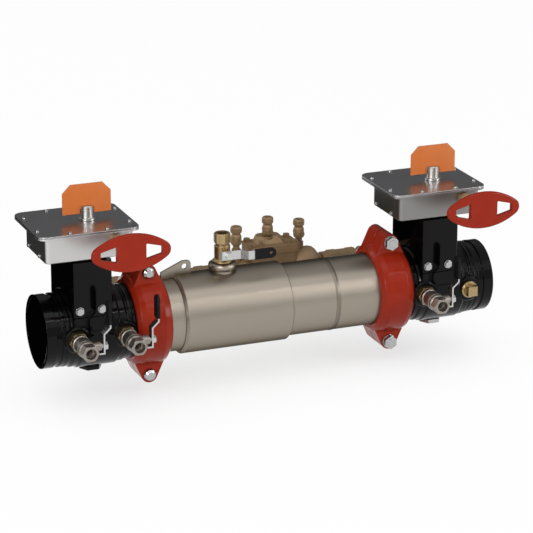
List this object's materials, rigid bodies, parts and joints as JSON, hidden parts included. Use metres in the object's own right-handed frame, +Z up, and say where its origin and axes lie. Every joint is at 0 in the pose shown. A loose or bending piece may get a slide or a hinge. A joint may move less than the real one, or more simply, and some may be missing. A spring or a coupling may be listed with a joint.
{
  "type": "backflow detector assembly",
  "caption": "Horizontal double check backflow detector: stainless tube body between gear operated butterfly valves, with grooved couplings and a small bypass line behind.",
  "frame": {"origin": "centre of the inlet end face, on the pipe's axis", "axes": "+X along the flow from inlet to outlet, +Z up towards the position flags, +Y towards the bypass"},
  "size_m": [0.7565, 0.304, 0.3202],
  "materials": {
    "black_enamel": "gloss black coating on ductile iron",
    "red_enamel": "semi-gloss red paint on cast iron",
    "orange_paint": "semi-gloss orange paint on sheet steel",
    "stainless_tube": "satin stainless steel tube",
    "drawn_aluminium": "satin drawn aluminium",
    "dark_lid": "dark polished steel plate",
    "zinc_plate": "bright zinc plated steel",
    "bare_steel": "machined steel",
    "yellow_brass": "machined yellow brass",
    "cast_bronze": "cast bronze",
    "red_brass_pipe": "drawn red brass pipe",
    "nickel_brass": "grey nickel plated brass",
    "lever_steel": "pressed steel lever with a dipped black grip",
    "black_rubber": "moulded black rubber",
    "switch_case": "moulded switch case",
    "coated_disc": "iron disc with a black rubber coat"
  },
  "bodies": {
    "root": {"access_sleeve": "stainless_tube", "body_plug": "yellow_brass", "body_tube": "stainless_tube", "bracket_bolts": "zinc_plate", "bypass_check_body": "cast_bronze", "bypass_cover": "cast_bronze", "bypass_cover_screws": "cast_bronze", "bypass_elbows": "cast_bronze", "bypass_pipes": "red_brass_pipe", "bypass_test_cocks": "cast_bronze", "bypass_unions": "cast_bronze", "check_hinge_sets": "bare_steel", "coupling_bolts": "zinc_plate", "coupling_gaskets": "black_rubber", "coupling_nuts": "zinc_plate", "first_check_frame": "stainless_tube", "inlet_bottom_plug": "black_enamel", "inlet_bracket": "black_enamel", "inlet_coupling_front": "red_enamel", "inlet_coupling_rear": "red_enamel", "inlet_gear_box": "drawn_aluminium", "inlet_lid": "dark_lid", "inlet_valve_body": "black_enamel", "lifting_lug": "stainless_tube", "operator_screws": "zinc_plate", "outlet_bottom_plug": "zinc_plate", "outlet_bracket": "black_enamel", "outlet_coupling_front": "red_enamel", "outlet_coupling_rear": "red_enamel", "outlet_gear_box": "drawn_aluminium", "outlet_lid": "dark_lid", "outlet_valve_body": "black_enamel", "second_check_frame": "stainless_tube", "sleeve_seals": "black_rubber", "stem_bushings": "cast_bronze", "tamper_switches": "switch_case", "test_nipples": "yellow_brass", "test_valve_bodies": "nickel_brass", "vent_boss": "stainless_tube", "vent_valve_body": "yellow_brass", "worm_bushings": "cast_bronze"},
    "inlet_disc_set": {"inlet_disc": "coated_disc", "inlet_stem": "bare_steel", "inlet_flag": "orange_paint", "inlet_worm_wheel": "cast_bronze"},
    "inlet_crank_set": {"inlet_worm": "bare_steel", "inlet_crank_handle": "red_enamel"},
    "outlet_disc_set": {"outlet_disc": "coated_disc", "outlet_stem": "bare_steel", "outlet_flag": "orange_paint", "outlet_worm_wheel": "cast_bronze"},
    "outlet_crank_set": {"outlet_worm": "bare_steel", "outlet_crank_handle": "red_enamel"},
    "first_clapper": {"first_check_clapper": "stainless_tube"},
    "second_clapper": {"second_check_clapper": "stainless_tube"},
    "upstream_lever": {"upstream_test_lever": "lever_steel"},
    "downstream_lever": {"downstream_test_lever": "lever_steel"},
    "outlet_lever": {"outlet_test_lever": "lever_steel"},
    "vent_handle": {"vent_lever": "lever_steel"}
  },
  "joints": [
    {"name": "inlet_disc_turn", "type": "hinge", "parent": "root", "child": "inlet_disc_set", "pos_m": [0.084, 0, 0], "axis": [0, 0, 1], "range_deg": [-90, 0]},
    {"name": "inlet_crank_turn", "type": "hinge", "parent": "root", "child": "inlet_crank_set", "pos_m": [0.109, 0, 0.152], "axis": [0, 1, 0], "range_deg": [0, 2160]},
    {"name": "outlet_disc_turn", "type": "hinge", "parent": "root", "child": "outlet_disc_set", "pos_m": [0.658, 0, 0], "axis": [0, 0, 1], "range_deg": [-90, 0]},
    {"name": "outlet_crank_turn", "type": "hinge", "parent": "root", "child": "outlet_crank_set", "pos_m": [0.683, 0, 0.152], "axis": [0, 1, 0], "range_deg": [0, 2160]},
    {"name": "first_clapper_swing", "type": "hinge", "parent": "root", "child": "first_clapper", "pos_m": [0.254, 0, 0.042], "axis": [0, 1, 0], "range_deg": [-70, 0]},
    {"name": "second_clapper_swing", "type": "hinge", "parent": "root", "child": "second_clapper", "pos_m": [0.367, 0, 0.042], "axis": [0, 1, 0], "range_deg": [-70, 0]},
    {"name": "upstream_lever_turn", "type": "hinge", "parent": "root", "child": "upstream_lever", "pos_m": [0.046, -0.0965, 0], "axis": [1, 0, 0], "range_deg": [0, 90]},
    {"name": "downstream_lever_turn", "type": "hinge", "parent": "root", "child": "downstream_lever", "pos_m": [0.122, -0.0965, 0], "axis": [1, 0, 0], "range_deg": [0, 90]},
    {"name": "outlet_lever_turn", "type": "hinge", "parent": "root", "child": "outlet_lever", "pos_m": [0.62, -0.0965, 0], "axis": [1, 0, 0], "range_deg": [0, 90]},
    {"name": "vent_lever_turn", "type": "hinge", "parent": "root", "child": "vent_handle", "pos_m": [0.3013, 0, 0.093], "axis": [0, -1, 0], "range_deg": [0, 90]}
  ],
  "couplings": [
    {"joint": "inlet_crank_turn", "follows": "inlet_disc_turn", "ratio": -24},
    {"joint": "outlet_crank_turn", "follows": "outlet_disc_turn", "ratio": -24}
  ]
}
